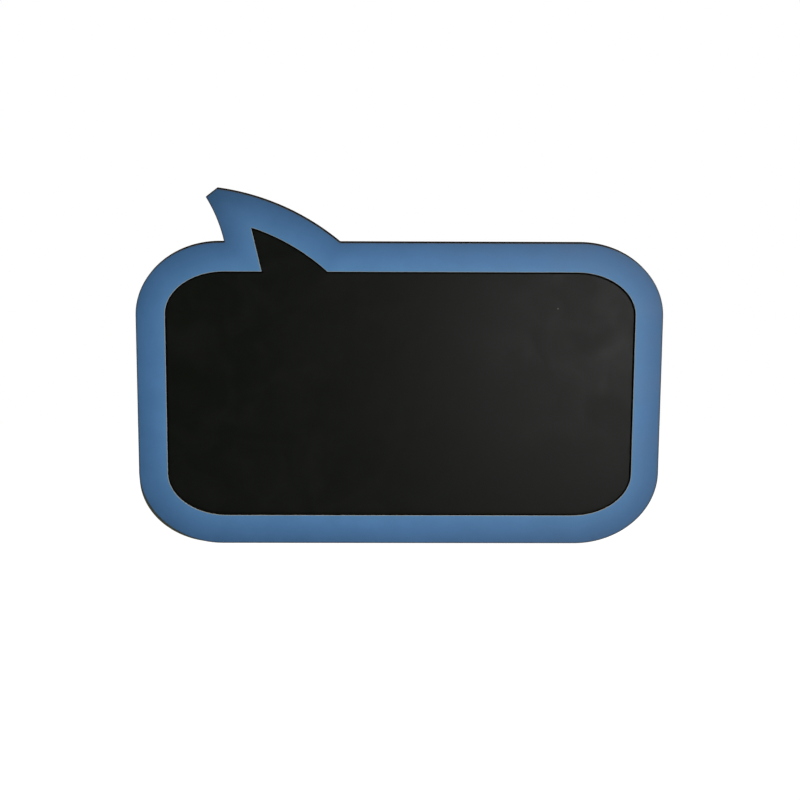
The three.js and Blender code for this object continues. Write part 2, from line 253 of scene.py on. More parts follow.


# Satin acrylic paint, rolled on MDF. It covers the face and leaves the sawn edges bare, which the saw
# has scorched dark. The eye sees a blue with a soft gloss and a fine roller stipple, painted shade that
# deepens it towards the outside, the tail and the corners, a painted dark line on the outer arris, a
# painted highlight on the opening's arris, and a thin pale line where the arris is rubbed.
satinPaint = {
    # Blues across the frame, from its outside to the opening: painted shade, deeper outside, lighter
    # inside
    "deep": "#375e85",
    "middle": "#406994",
    "light": "#49759f",
    # A painted dark line along the outer arris and a painted highlight along the opening's arris
    "outerShadeRim": "#263e55",
    "innerHighlightRim": "#7b929a",
    "outerShadeRimWidth": 1.9,
    "innerHighlightRimWidth": 1.0,
    "paintEnds": {"To Min": 0.6, "To Max": 0.06},       # from the outer edge and from the opening's
    "paintWaver": {"To Min": -0.08, "To Max": 0.08},
    "waver": 2.2,
    "arris": "#aaa28f",
    "arrisWidth": 0.42,
    "arrisShares": {"To Min": 0.15, "To Max": 0.85},
    # Painted shade far from the opening, and an oval pool of painted light that darkens the corners and
    # the tail
    "farShade": {"From Min": 18, "From Max": 46, "To Min": 1.0, "To Max": 0.88},
    "paintedLightPoolWidth": 250,
    "paintedLightPoolHeight": 150,
    "paintedLightPool": {"From Min": 0.88, "From Max": 1.45, "To Min": 1.12, "To Max": 0.81},
    "cloud": 24,
    "cloudLevels": {"To Min": 0.95, "To Max": 1.05},
    "stipple": 1.5,             # roller stipple is about 0.8 mm across: drawn coarser to show
    "stippleHeight": 0.008,
    "roughness": {"To Min": 0.32, "To Max": 0.4},
    "specular": 0.28,
    "chipSize": 4.4,
    "chipSpan": {"From Min": 0.69, "From Max": 0.71},
    "chipReach": 0.5,
    "chips": ((-81.9, 129.2, 1.2), (198.8, -111.6, 1.4)),
}


def satinPaintOnMdf():
    paint = satinPaint
    material, tree, coords = startMaterial("satin_acrylic_paint_rolled_on_mdf")

    # Painted shade across the frame, deeper blue at its outside and lighter at the opening, with a
    # painted dark line along the outer arris and a painted highlight along the opening's arris
    across = addNode(tree, "ShaderNodeAttribute", give="Fac", attribute_name="acrossFrame")
    outerDistance = addNode(tree, "ShaderNodeAttribute", give="Fac", attribute_name="fromOutside")
    innerDistance = addNode(tree, "ShaderNodeAttribute", give="Fac", attribute_name="fromOpening")
    outerHalf = addNode(tree, "ShaderNodeMapRange", {"Value": across, "From Max": 0.5})
    innerHalf = addNode(tree, "ShaderNodeMapRange", {"Value": across, "From Min": 0.5})
    outerShadeRim, innerHighlightRim = [
        addNode(tree, "ShaderNodeMapRange", {
            "Value": distance, "From Max": paint[width], **falling,
        }, interpolation_type="SMOOTHSTEP")
        for distance, width in ((outerDistance, "outerShadeRimWidth"), (innerDistance, "innerHighlightRimWidth"))
    ]
    blue = hexToLinear(paint["deep"])
    for share, over in (
        (outerHalf, "middle"), (innerHalf, "light"), (outerShadeRim, "outerShadeRim"), (innerHighlightRim, "innerHighlightRim"),
    ):
        blue = addNode(tree, "ShaderNodeMix", {
            "Factor": share, "A": blue, "B": hexToLinear(paint[over]),
        }, data_type="RGBA")

    # Painted shade: the blue darkens far from the opening, as in the tail, and outside an oval pool of
    # painted light round the middle of the board. It is also slightly uneven all over.
    farShade = addNode(tree, "ShaderNodeMapRange", {"Value": innerDistance, **paint["farShade"]})
    clouds = addNode(tree, "ShaderNodeTexNoise", {
        "Vector": coords, "Scale": perMetre(paint["cloud"]), "Detail": 4.0, "Roughness": 0.6,
    })
    level = addNode(tree, "ShaderNodeMapRange", {"Value": clouds, **noiseSpan, **paint["cloudLevels"]})
    place = addNode(tree, "ShaderNodeVectorMath", {
        0: coords, 1: (perMetre(paint["paintedLightPoolWidth"]), 0, perMetre(paint["paintedLightPoolHeight"])),
    }, operation="MULTIPLY")
    reach = addNode(tree, "ShaderNodeVectorMath", {0: place}, give="Value", operation="LENGTH")
    paintedLightPool = addNode(tree, "ShaderNodeMapRange", {"Value": reach, **paint["paintedLightPool"]})
    level = addNode(tree, "ShaderNodeMath", {0: level, 1: farShade}, operation="MULTIPLY")
    level = addNode(tree, "ShaderNodeMath", {0: level, 1: paintedLightPool}, operation="MULTIPLY")
    blue = addNode(tree, "ShaderNodeHueSaturation", {"Color": blue, "Value": level})
    stipple = addNode(tree, "ShaderNodeTexNoise", {
        "Vector": coords, "Scale": perMetre(paint["stipple"]), "Detail": 2.0, "Roughness": 0.5,
    })

    # Where the paint ends: a wavering line on the eased arris, rubbed pale beside it, with chips
    nearest = addNode(tree, "ShaderNodeMath", {0: outerDistance, 1: innerDistance}, operation="MINIMUM")
    waver = addNode(tree, "ShaderNodeTexNoise", {
        "Vector": coords, "Scale": perMetre(paint["waver"]), "Detail": 3.0,
    })
    paintEnd = addNode(tree, "ShaderNodeMapRange", {"Value": across, **paint["paintEnds"]})
    swing = addNode(tree, "ShaderNodeMapRange", {"Value": waver, **noiseSpan, **paint["paintWaver"]})
    paintEnd = addNode(tree, "ShaderNodeMath", {0: paintEnd, 1: swing}, operation="ADD")
    past = addNode(tree, "ShaderNodeMath", {0: nearest, 1: paintEnd}, operation="SUBTRACT")
    bareEdge = addNode(tree, "ShaderNodeMath", {0: past, 1: 0.0}, operation="LESS_THAN")
    rubbedShare = addNode(tree, "ShaderNodeMapRange", {"Value": across, **paint["arrisShares"]})
    rubbed = addNode(tree, "ShaderNodeMapRange", {
        "Value": past, "From Max": paint["arrisWidth"], "To Min": rubbedShare, "To Max": 0.0,
    })
    blue = addNode(tree, "ShaderNodeMix", {
        "Factor": rubbed, "A": blue, "B": hexToLinear(paint["arris"]),
    }, data_type="RGBA")
    nearArris = addNode(tree, "ShaderNodeMapRange", {
        "Value": nearest, "From Max": paint["chipReach"], **falling,
    })
    chipNoise = addNode(tree, "ShaderNodeTexNoise", {
        "Vector": coords, "Scale": perMetre(paint["chipSize"]), "Detail": 2.0,
    })
    chipShare = addNode(tree, "ShaderNodeMapRange", {"Value": chipNoise, **paint["chipSpan"]})
    chips = addNode(tree, "ShaderNodeMath", {0: nearArris, 1: chipShare}, operation="MULTIPLY")
    bare = addNode(tree, "ShaderNodeMath", {0: bareEdge, 1: chips}, operation="MAXIMUM")
    knocks = marksAt(tree, coords, paint["chips"])
    bare = addNode(tree, "ShaderNodeMath", {0: bare, 1: knocks}, operation="MAXIMUM")

    # The bare board, scorched where it is an edge
    boardColour, boardGrain = mdfPattern(tree, coords)
    scorch = addNode(tree, "ShaderNodeMapRange", {
        "Value": waver, **noiseSpan, "To Min": sawnEdge["scorchLeast"],
    })
    scorch = addNode(tree, "ShaderNodeMath", {0: scorch, 1: bareEdge}, operation="MULTIPLY")
    boardColour = addNode(tree, "ShaderNodeMix", {
        "Factor": scorch, "A": boardColour, "B": hexToLinear(sawnEdge["scorched"]),
    }, data_type="RGBA")
    colour = addNode(tree, "ShaderNodeMix", {
        "Factor": bare, "A": blue, "B": boardColour,
    }, data_type="RGBA")
    gloss = addNode(tree, "ShaderNodeMapRange", {"Value": clouds, **noiseSpan, **paint["roughness"]})
    roughness = addNode(tree, "ShaderNodeMix", {"Factor": bare, "A": gloss, "B": sawnMdf["roughness"]})
    shader = addNode(tree, "ShaderNodeBsdfPrincipled", {
        "Base Color": colour,
        "Roughness": roughness,
        "Normal": coatOverBoard(tree, bare, stipple, paint["stippleHeight"], boardGrain),
        "Specular IOR Level": paint["specular"],
    })
    addNode(tree, "ShaderNodeOutputMaterial", {"Surface": shader})
    return material


# Black chalkboard paint, sprayed on the front and the edges of a board that is bare MDF behind. The
# eye sees a dense matt black with a fine tooth for the chalk, faint wiped chalk, a painted shadow of the
# frame as a deeper black line along it, and overspray that fades in from the edges of the bare back.
chalkboardPaint = {
    "black": "#070a05",
    "wiped": "#11130e",
    "rubbed": "#6c705a",
    "dust": "#7f7f78",
    "tooth": 0.9,               # the paint's tooth is about 0.2 mm: drawn coarser to show
    "toothHeight": 0.012,
    "wipe": 38,
    "wipeSpan": {"From Min": 0.42, "From Max": 0.75, "To Max": 0.35},
    "roughness": {"To Min": 0.29, "To Max": 0.35},
    "wallSpan": {"From Min": 0.3, "From Max": 0.8},     # how far a wall faces front or back
    "wallRoughness": 0.9,
    "specular": 0.16,
    "backSkin": (0.25, 0.1),
    "oversprayReach": {"To Min": 3.3, "To Max": 18.7},
    "oversprayWaver": 9,
    "specks": ((150.2, 83.5, 0.8),),
}


def chalkboardPaintOnMdf(backY):
    paint = chalkboardPaint
    material, tree, coords = startMaterial("black_chalkboard_paint_sprayed_on_mdf")
    tooth = addNode(tree, "ShaderNodeTexNoise", {
        "Vector": coords, "Scale": perMetre(paint["tooth"]), "Detail": 3.0, "Roughness": 0.6,
    })
    wiped = addNode(tree, "ShaderNodeTexNoise", {
        "Vector": coords, "Scale": perMetre(paint["wipe"]), "Detail": 5.0, "Roughness": 0.55,
        "Distortion": 1.2,
    })
    wipedShare = addNode(tree, "ShaderNodeMapRange", {"Value": wiped, **paint["wipeSpan"]})

    # A painted shadow of the frame lies along the opening, the corner that stands out past the frame is
    # rubbed, and a speck of chalk dust stays behind
    shadowLine = addNode(tree, "ShaderNodeAttribute", give="Fac", attribute_name="shadowLine")
    rubbed = addNode(tree, "ShaderNodeAttribute", give="Fac", attribute_name="cornerOut")
    depth = addNode(tree, "ShaderNodeSeparateXYZ", {"Vector": coords}, give="Y")
    skinStart, skinEnd = paint["backSkin"]
    onBack = addNode(tree, "ShaderNodeMapRange", {
        "Value": depth, "From Min": (backY - skinStart) * mm, "From Max": (backY - skinEnd) * mm,
    })
    specks = marksAt(tree, coords, paint["specks"])
    dusty = addNode(tree, "ShaderNodeMath", {0: specks, 1: onBack}, operation="SUBTRACT", use_clamp=True)
    black = hexToLinear(paint["black"])
    for share, over in (
        (wipedShare, paint["wiped"]), (shadowLine, sawnEdge["soakedEdgeAndShadow"]), (rubbed, paint["rubbed"]),
        (dusty, paint["dust"]),
    ):
        black = addNode(tree, "ShaderNodeMix", {
            "Factor": share, "A": black, "B": hexToLinear(over),
        }, data_type="RGBA")

    # Bare back, with overspray along its edges
    fromEdge = addNode(tree, "ShaderNodeAttribute", give="Fac", attribute_name="fromOutside")
    mist = addNode(tree, "ShaderNodeTexNoise", {
        "Vector": coords, "Scale": perMetre(paint["oversprayWaver"]), "Detail": 6.0, "Roughness": 0.75,
    })
    reach = addNode(tree, "ShaderNodeMapRange", {"Value": mist, **noiseSpan, **paint["oversprayReach"]})
    clear = addNode(tree, "ShaderNodeMath", {0: fromEdge, 1: reach}, operation="DIVIDE", use_clamp=True)
    bare = addNode(tree, "ShaderNodeMath", {0: onBack, 1: clear}, operation="MULTIPLY")
    drilled = addNode(tree, "ShaderNodeAttribute", give="Fac", attribute_name="inHole")
    bare = addNode(tree, "ShaderNodeMath", {0: bare, 1: drilled}, operation="MAXIMUM")
    boardColour, boardGrain = mdfPattern(tree, coords)
    colour = addNode(tree, "ShaderNodeMix", {
        "Factor": bare, "A": black, "B": boardColour,
    }, data_type="RGBA")

    # The eased edge towards the walls and the painted shadow line are dull
    normal = addNode(tree, "ShaderNodeTexCoord", give="Normal")
    facing = addNode(tree, "ShaderNodeSeparateXYZ", {"Vector": normal}, give="Y")
    facing = addNode(tree, "ShaderNodeMath", {0: facing}, operation="ABSOLUTE")
    wall = addNode(tree, "ShaderNodeMapRange", {"Value": facing, **paint["wallSpan"], **falling})
    dull = addNode(tree, "ShaderNodeMath", {0: wall, 1: shadowLine}, operation="MAXIMUM")
    gloss = addNode(tree, "ShaderNodeMapRange", {"Value": wiped, **noiseSpan, **paint["roughness"]})
    gloss = addNode(tree, "ShaderNodeMix", {"Factor": dull, "A": gloss, "B": paint["wallRoughness"]})
    roughness = addNode(tree, "ShaderNodeMix", {"Factor": bare, "A": gloss, "B": sawnMdf["roughness"]})
    shader = addNode(tree, "ShaderNodeBsdfPrincipled", {
        "Base Color": colour,
        "Roughness": roughness,
        "Normal": coatOverBoard(tree, bare, tooth, paint["toothHeight"], boardGrain),
        "Specular IOR Level": paint["specular"],
    })
    addNode(tree, "ShaderNodeOutputMaterial", {"Surface": shader})
    return material


# Mild steel with bright zinc electroplate: a cool silver with a faint blue and straw tint from its
# passivation, soft reflections, and fine marks from the barrel that it was plated in.
zincPlate = {
    "silver": "#c9cccf",
    "straw": "#cdc8ba",
    "tint": 6,
    "roughness": {"To Min": 0.17, "To Max": 0.37},
    "mark": 0.7,
    "markHeight": 0.004,
    "bump": 0.5,
}


def brightZincPlate():
    plate = zincPlate
    material, tree, coords = startMaterial("mild_steel_bright_zinc_electroplate")
    tint = addNode(tree, "ShaderNodeTexNoise", {
        "Vector": coords, "Scale": perMetre(plate["tint"]), "Detail": 2.0,
    })
    colour = addNode(tree, "ShaderNodeMix", {
        "Factor": tint, "A": hexToLinear(plate["silver"]), "B": hexToLinear(plate["straw"]),
    }, data_type="RGBA")
    marks = addNode(tree, "ShaderNodeTexNoise", {
        "Vector": coords, "Scale": perMetre(plate["mark"]), "Detail": 4.0, "Roughness": 0.7,
    })
    roughness = addNode(tree, "ShaderNodeMapRange", {"Value": marks, **noiseSpan, **plate["roughness"]})
    bump = addNode(tree, "ShaderNodeBump", {
        "Height": marks, "Strength": plate["bump"], "Distance": plate["markHeight"] * mm,
    })
    shader = addNode(tree, "ShaderNodeBsdfPrincipled", {
        "Base Color": colour, "Metallic": 1.0, "Roughness": roughness, "Normal": bump,
    })
    addNode(tree, "ShaderNodeOutputMaterial", {"Surface": shader})
    return material


# Black EPDM rubber, compression moulded: nearly black and dull, with a fine spark-eroded grain from
# the mould and a little grey dust held in it.
mouldedRubber = {
    "black": "#1c1c1d",
    "dust": "#3a3936",
    "dustSize": 1.8,
    "dustSpan": {"From Min": 0.5, "From Max": 0.8, "To Max": 0.6},
    "grain": 0.35,
    "grainHeight": 0.03,
    "bump": 0.7,
    "roughness": 0.72,
}


def blackEpdmRubber():
    rubber = mouldedRubber
    material, tree, coords = startMaterial("epdm_rubber_compression_moulded")
    dust = addNode(tree, "ShaderNodeTexNoise", {
        "Vector": coords, "Scale": perMetre(rubber["dustSize"]), "Detail": 5.0, "Roughness": 0.7,
    })
    dustShare = addNode(tree, "ShaderNodeMapRange", {"Value": dust, **rubber["dustSpan"]})
    colour = addNode(tree, "ShaderNodeMix", {
        "Factor": dustShare, "A": hexToLinear(rubber["black"]), "B": hexToLinear(rubber["dust"]),
    }, data_type="RGBA")
    grain = addNode(tree, "ShaderNodeTexNoise", {
        "Vector": coords, "Scale": perMetre(rubber["grain"]), "Detail": 2.0,
    })
    bump = addNode(tree, "ShaderNodeBump", {
        "Height": grain, "Strength": rubber["bump"], "Distance": rubber["grainHeight"] * mm,
    })
    shader = addNode(tree, "ShaderNodeBsdfPrincipled", {
        "Base Color": colour, "Roughness": rubber["roughness"], "Normal": bump,
    })
    addNode(tree, "ShaderNodeOutputMaterial", {"Surface": shader})
    return material


# How closely the script reads and redraws the CAD outlines
outlineSettings = {
    "plane": 0.01,              # how near to a plane a point counts as on it
    "weld": 0.002,
    "join": 1e-5,
    "tiny": 1e-12,              # keeps a stretch of no length from dividing by zero
    "leastSpread": 0.3,
    "arcChord": 14,
    "gentleTurn": 13,
    "passes": 2,
    "longest": 5,
    "easeSteps": 4,
}


# The closed outlines of a CAD board's flat face, as lists of points in X and Z, the longest first.
# Each has the board's material on the left of its way round.
def faceOutlines(node, faceY):
    cad = bmesh.new()
    cad.from_mesh(frame["nodes"][node].data)
    bmesh.ops.remove_doubles(cad, verts=cad.verts, dist=outlineSettings["weld"] * mm)

    def onFace(item):
        verts = item.verts if hasattr(item, "verts") else [item]
        return all(abs(vert.co.y / mm - faceY) < outlineSettings["plane"] for vert in verts)

    following = {}
    for face in cad.faces:
        if not onFace(face):
            continue
        for loop in face.loops:
            if sum(onFace(other) for other in loop.edge.link_faces) == 1:
                following[loop.vert.index] = loop.link_loop_next.vert.index
    cad.verts.ensure_lookup_table()
    facesFront = sum(face.normal.y for face in cad.faces if onFace(face)) < 0
    outlines = []
    while following:
        start = here = next(iter(following))
        outline = []
        while here in following:
            vert = cad.verts[here].co / mm
            outline.append(Vector((vert.x, vert.z)))
            here = following.pop(here)
        outlines.append(outline if facesFront else outline[::-1])
    cad.free()
    return sorted(outlines, key=outlineLength, reverse=True)


def outlineLength(outline):
    return sum((point - outline[i - 1]).length for i, point in enumerate(outline))


# Angle to the left, in radians, that an outline turns through at each of its points
def turnsOf(outline):
    turns = []
    for i, point in enumerate(outline):
        before = point - outline[i - 1]
        after = outline[(i + 1) % len(outline)] - point
        turns.append(math.atan2(before.x * after.y - before.y * after.x, before.dot(after)))
    return turns


# A finer outline. Short chords that meet at gentle turns stand for arcs, so their middles move out to
# the arc, by an eighth of the turn times the chord, and long straight stretches are divided.
def refined(outline):
    gentle = math.radians(outlineSettings["gentleTurn"])
    for _ in range(outlineSettings["passes"]):
        turns = turnsOf(outline)
        finer = []
        for i, point in enumerate(outline):
            j = (i + 1) % len(outline)
            way = outline[j] - point
            finer.append(point)
            ends = [turn for turn in (turns[i], turns[j]) if abs(turn) < gentle]
            if way.length < outlineSettings["arcChord"] and ends:
                bulge = sum(ends) / len(ends) / 8
                finer.append(point + way / 2 + Vector((way.y, -way.x)) * bulge)
        outline = finer
        gentle /= 2
    divided = []
    for i, point in enumerate(outline):
        way = outline[(i + 1) % len(outline)] - point
        steps = math.ceil(way.length / outlineSettings["longest"])
        divided.extend(point + way * step / steps for step in range(steps))
    return divided


# An outline moved to its left by a distance
def movedLeft(outline, distance):
    moved = []
    for i, point in enumerate(outline):
        before = (point - outline[i - 1]).normalized()
        after = (outline[(i + 1) % len(outline)] - point).normalized()
        middle = (before + after).normalized()
        left = Vector((-middle.y, middle.x))
        spread = left.dot(Vector((-after.y, after.x)))
        moved.append(point + left * distance / max(spread, outlineSettings["leastSpread"]))
    return moved


# Distance of each point from the nearest stretch of a closed outline
def distancesTo(points, outline):
    points = np.array([(p.x, p.y) for p in points])[:, None, :]
    starts = np.array([(p.x, p.y) for p in outline])[None, :, :]
    ways = np.roll(starts, -1, axis=1) - starts
    squares = np.maximum((ways ** 2).sum(-1), outlineSettings["tiny"])
    along = ((points - starts) * ways).sum(-1) / squares
    nearest = starts + np.clip(along, 0, 1)[..., None] * ways
    return np.sqrt(((points - nearest) ** 2).sum(-1)).min(1)


# Whether each point lies on the material that a set of outlines bounds
def insideOf(points, outlines):
    points = np.array([(p.x, p.y) for p in points])[:, None, :]
    crossings = np.zeros(len(points), int)
    for outline in outlines:
        starts = np.array([(p.x, p.y) for p in outline])[None, :, :]
        ends = np.roll(starts, -1, axis=1)
        spans = (starts[..., 1] > points[..., 1]) != (ends[..., 1] > points[..., 1])
        rise = np.where(spans, ends[..., 1] - starts[..., 1], 1)
        share = (points[..., 1] - starts[..., 1]) / rise
        crossing = starts[..., 0] + share * (ends[..., 0] - starts[..., 0])
        crossings += (spans & (points[..., 0] < crossing)).sum(1)
    return crossings % 2 == 1


# Points of a staggered grid that lie on the material, clear of its outlines and of the guides
def gridInside(outlines, guides, spacing):
    xs = [point.x for point in outlines[0]]
    zs = [point.y for point in outlines[0]]
    points = []
    rows = math.ceil((max(zs) - min(zs)) / spacing)
    columns = math.ceil((max(xs) - min(xs)) / spacing)
    for row in range(rows):
        shift = 0.5 * (row % 2)
        z = min(zs) + (row + 0.5) * spacing
        points.extend(Vector((min(xs) + (column + shift) * spacing, z)) for column in range(columns))
    inside = insideOf(points, outlines)
    nearest = np.min([distancesTo(points, line) for line in outlines + guides], axis=0)
    return [point for point, keep in zip(points, inside & (nearest > spacing / 2)) if keep]


# Fills a flat face between outlines that are already vertices, with the guides' points and a grid
# inside. The triangulation also fills the holes, so its triangles there are left out.
def fillFace(mesh, outlines, rings, guides, y, spacing, facingFront):
    grid = gridInside(outlines, guides, spacing) + [point for guide in guides for point in guide]
    verts = [vert for ring in rings for vert in ring]
    verts += [mesh.verts.new((point.x, y, point.y)) for point in grid]
    edges = []
    for ring in rings:
        first = len(edges)
        edges += [(first + i, first + (i + 1) % len(ring)) for i in range(len(ring))]
    points = [point for outline in outlines for point in outline] + grid
    filled = geometry.delaunay_2d_cdt(points, edges, [], 1, outlineSettings["join"])
    triangles, origins = filled[2:4]
    ids = [origin[0] for origin in origins]
    triangles = [[ids[i] for i in triangle] for triangle in triangles]
    middles = [(points[a] + points[b] + points[c]) / 3 for a, b, c in triangles]
    for triangle, keep in zip(triangles, insideOf(middles, outlines)):
        if keep:
            corners = [verts[i] for i in triangle]
            area = geometry.normal([corner.co for corner in corners]).y
            mesh.faces.new(corners if (area < 0) == facingFront else corners[::-1])


# A flat board between its outlines, with eased edges. Heights run along Y from the front to the back,
# and the front face has vertices along its guides.
def flatBoard(outlines, frontY, backY, frontEase, backEase, spacing, guides=()):
    steps = outlineSettings["easeSteps"]
    angles = [math.pi / 2 * step / steps for step in range(steps + 1)]
    sections = [(frontEase * (1 - math.sin(a)), frontY + frontEase * (1 - math.cos(a))) for a in angles]
    if backEase:
        sections += [
            (backEase * (1 - math.cos(a)), backY - backEase * (1 - math.sin(a))) for a in angles
        ]
    else:
        sections.append((0, backY))
    mesh = bmesh.new()
    shifted = [[movedLeft(outline, inset) if inset else outline for outline in outlines]
               for inset, _ in sections]
    rings = [[[mesh.verts.new((point.x, y, point.y)) for point in outline] for outline in level]
             for level, (_, y) in zip(shifted, sections)]
    for front, back in zip(rings, rings[1:]):
        for frontRing, backRing in zip(front, back):
            for i in range(len(frontRing)):
                j = (i + 1) % len(frontRing)
                mesh.faces.new((frontRing[i], frontRing[j], backRing[j], backRing[i]))
    fillFace(mesh, shifted[0], rings[0], list(guides), frontY, spacing, True)
    fillFace(mesh, shifted[-1], rings[-1], [], backY, spacing, False)
    return mesh


# Rings of points round a line along Y, joined into a closed round body. The profile gives radius and
# Y from the end nearest the front; a radius can be a function of the angle.
def turned(profile, steps, x, z):
    mesh = bmesh.new()
    rings = []
    for radius, y in profile:
        if radius == 0:
            rings.append([mesh.verts.new((x, y, z))])
            continue
        ring = []
        for step in range(steps):
            angle = 2 * math.pi * step / steps
            reach = radius(angle) if callable(radius) else radius
            ring.append(mesh.verts.new((x + reach * math.cos(angle), y, z - reach * math.sin(angle))))
        rings.append(ring)
    for front, back in zip(rings, rings[1:]):
        for i in range(steps):
            j = (i + 1) % steps
            around = ((front, i), (front, j), (back, j), (back, i))
            corners = [ring[step % len(ring)] for ring, step in around]
            mesh.faces.new(list(dict.fromkeys(corners)))
    return mesh


# Makes a Blender object of a mesh drawn in millimetres
def pieceFrom(mesh, name):
    bmesh.ops.recalc_face_normals(mesh, faces=mesh.faces)
    bmesh.ops.scale(mesh, vec=(mm, mm, mm), verts=mesh.verts)
    data = bpy.data.meshes.new(name)
    mesh.to_mesh(data)
    mesh.free()
    piece = bpy.data.objects.new(name, data)
    bpy.context.scene.collection.objects.link(piece)
    return piece


# Cuts one body from another, or keeps what they share, and deletes the cutter
def combine(piece, cutter, operation):
    cut = piece.modifiers.new("cut", "BOOLEAN")
    cut.operation = operation
    cut.solver = "EXACT"
    cut.object = cutter
    applyModifiers(piece)
    bpy.data.objects.remove(cutter)


def applyModifiers(piece):
    graph = bpy.context.evaluated_depsgraph_get()
    made = bpy.data.meshes.new_from_object(piece.evaluated_get(graph))
    piece.modifiers.clear()
    piece.data = made


def smooth(piece, sharpAngle):
    piece.data.shade_smooth()
    piece.data.set_sharp_from_angle(angle=math.radians(sharpAngle))


# Gives a piece its material and body, and hides the CAD node that it stands for
def finishPiece(piece, node, material, body):
    piece.data.materials.clear()
    piece.data.materials.append(material)
    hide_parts(node)
    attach(piece, body)


def boxOf(node):
    low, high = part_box(node)
    return low / mm, high / mm


# Stores one value for each vertex under a name that a material reads
def storeValues(piece, name, values):
    attribute = piece.data.attributes.new(name, "FLOAT", "POINT")
    attribute.data.foreach_set("value", np.asarray(values, np.float32))


def flatPoints(piece):
    return [Vector((vert.co.x, vert.co.z)) / mm for vert in piece.data.vertices]


# Gives some of a piece's faces a second material
def coverFaces(piece, material, chosen):
    piece.data.materials.append(material)
    piece.data.polygons.foreach_set("material_index", np.asarray(chosen, np.int32))


# Middle of each face in X and Z, its Y, and how far it faces along Y
def facesOf(piece):
    faces = piece.data.polygons
    middles = [Vector((face.center.x, face.center.z)) / mm for face in faces]
    depths = np.array([face.center.y for face in faces]) / mm
    return middles, depths, np.array([abs(face.normal.y) for face in faces])


# Holes for the screws, as the CAD has them
holeSettings = {
    "room": 0.3,
    "steps": 36,
    "over": 0.5,
}


# Cuts one screw's hole, whose profile runs from its blind end back and out past the surface
def cutScrewHole(piece, node, profile):
    low, high = boxOf(node)
    x, z = (low.x + high.x) / 2, (low.z + high.z) / 2
    combine(piece, pieceFrom(turned(profile, holeSettings["steps"], x, z), "hole cutter"), "DIFFERENCE")


def screwNodes(start):
    return sorted(name for name in frame["nodes"] if name.startswith(start) and "screw" in name)


frameSettings = {
    "ease": 0.5,
    "spacing": 4,
    "guides": (1.0, 1.6),
    "sharpAngle": 60,
}


# The painted frame: its outlines come from the CAD frame's front face, and its arris is eased by hand
def paintedFrame():
    low, high = boxOf("front_frame")
    outlines = [refined(outline) for outline in faceOutlines("front_frame", low.y)]
    ease = frameSettings["ease"]
    guides = [movedLeft(outline, shift) for outline in outlines for shift in frameSettings["guides"]]
    mesh = flatBoard(outlines, low.y, high.y, ease, 0, frameSettings["spacing"], guides)
    piece = pieceFrom(mesh, "front_frame_painted")
    radius = screwSettings["shankRadius"] + holeSettings["room"]
    for node in screwNodes("frame"):
        tip = boxOf(node)[0].y - holeSettings["room"]
        out = high.y + holeSettings["over"]
        cutScrewHole(piece, node, [(0, tip), (radius, tip), (radius, out), (0, out)])
    points = flatPoints(piece)
    fromOutside = distancesTo(points, outlines[0])
    fromOpening = distancesTo(points, outlines[1])
    storeValues(piece, "fromOutside", fromOutside)
    storeValues(piece, "fromOpening", fromOpening)
    storeValues(piece, "acrossFrame", fromOutside / (fromOutside + fromOpening))
    smooth(piece, frameSettings["sharpAngle"])
    piece.modifiers.new("flat faces stay flat", "WEIGHTED_NORMAL").keep_sharp = True
    finishPiece(piece, "front_frame", satinPaintOnMdf(), "board")
    _, depths, _ = facesOf(piece)
    edge = mattMdfEdge("mdf_edge_scorched_by_the_saw", sawnEdge["scorched"], sawnEdge["scorchLeast"])
    coverFaces(piece, edge, depths > low.y + ease)
    return outlines


panelSettings = {
    "ease": 0.35,
    "spacing": 6,
    "rubReach": 0.4,
    # A painted shadow of the frame on the panel, along the opening
    "shadowLine": 0.95,
    "shadowLineFade": 0.4,
    "shadowLineDrop": 0.9,            # the painted shadow line drops a little, so it is wider under the frame's top
    "edgeZone": 2,
    "wallFacing": 0.5,
    "sharpAngle": 60,
}


